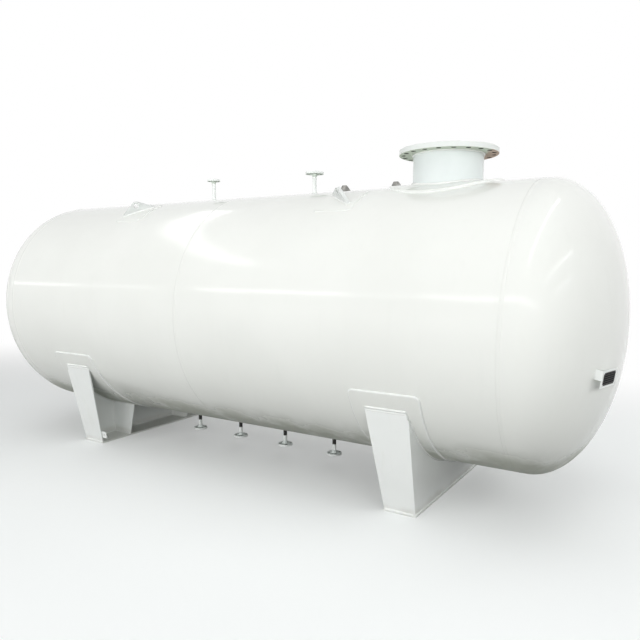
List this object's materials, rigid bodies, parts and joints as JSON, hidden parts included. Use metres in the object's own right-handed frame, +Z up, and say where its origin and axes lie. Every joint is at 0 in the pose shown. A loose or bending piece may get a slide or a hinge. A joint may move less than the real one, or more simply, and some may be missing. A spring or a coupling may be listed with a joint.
{
  "type": "horizontal pressure tank",
  "caption": "Horizontal steel pressure tank with dished ends on two saddles, with a flanged manway, small flanged nozzles above and below, and lifting lugs.",
  "frame": {"origin": "on the floor under the middle of the tank's overall box", "axes": "+X along the tank towards the manway end, +Y away from the side with the earthing lug, +Z up"},
  "size_m": [5.806, 2.028, 2.537],
  "materials": {
    "tank_paint": "gloss off-white paint",
    "manway_paint": "satin off-white paint",
    "nozzle_paint": "satin grey-white paint",
    "lug_paint": "satin grey-white paint",
    "saddle_paint": "satin grey-white paint",
    "plate_black": "satin black plate, left bare",
    "clip_paint": "dark primer"
  },
  "bodies": {
    "root": {"shell_course_left": "tank_paint", "shell_course_right": "tank_paint", "head_left": "tank_paint", "head_right": "tank_paint", "manway_neck": "manway_paint", "manway_flange": "manway_paint", "manway_pad": "manway_paint", "top_pipe_left": "nozzle_paint", "top_flange_left": "nozzle_paint", "top_pipe_right": "nozzle_paint", "top_flange_right": "nozzle_paint", "bottom_pipe_1": "nozzle_paint", "bottom_flange_1": "nozzle_paint", "bottom_pipe_2": "nozzle_paint", "bottom_flange_2": "nozzle_paint", "bottom_pipe_3": "nozzle_paint", "bottom_flange_3": "nozzle_paint", "bottom_pipe_4": "nozzle_paint", "bottom_flange_4": "nozzle_paint", "lug_left_near": "lug_paint", "lug_pad_left_near": "tank_paint", "lug_left_far": "lug_paint", "lug_pad_left_far": "tank_paint", "saddle_left_pad": "tank_paint", "saddle_left_web": "saddle_paint", "saddle_left_base": "saddle_paint", "saddle_left_end_near": "saddle_paint", "saddle_left_end_far": "saddle_paint", "saddle_left_rib_near": "saddle_paint", "saddle_left_rib_far": "saddle_paint", "lug_right_near": "lug_paint", "lug_pad_right_near": "tank_paint", "lug_right_far": "lug_paint", "lug_pad_right_far": "tank_paint", "saddle_right_pad": "tank_paint", "saddle_right_web": "saddle_paint", "saddle_right_base": "saddle_paint", "saddle_right_end_near": "saddle_paint", "saddle_right_end_far": "saddle_paint", "saddle_right_rib_near": "saddle_paint", "saddle_right_rib_far": "saddle_paint", "earthing_lug": "saddle_paint", "nameplate_bracket": "saddle_paint", "nameplate": "plate_black", "crown_clip_left": "clip_paint", "crown_clip_right": "clip_paint"}
  },
  "joints": []
}
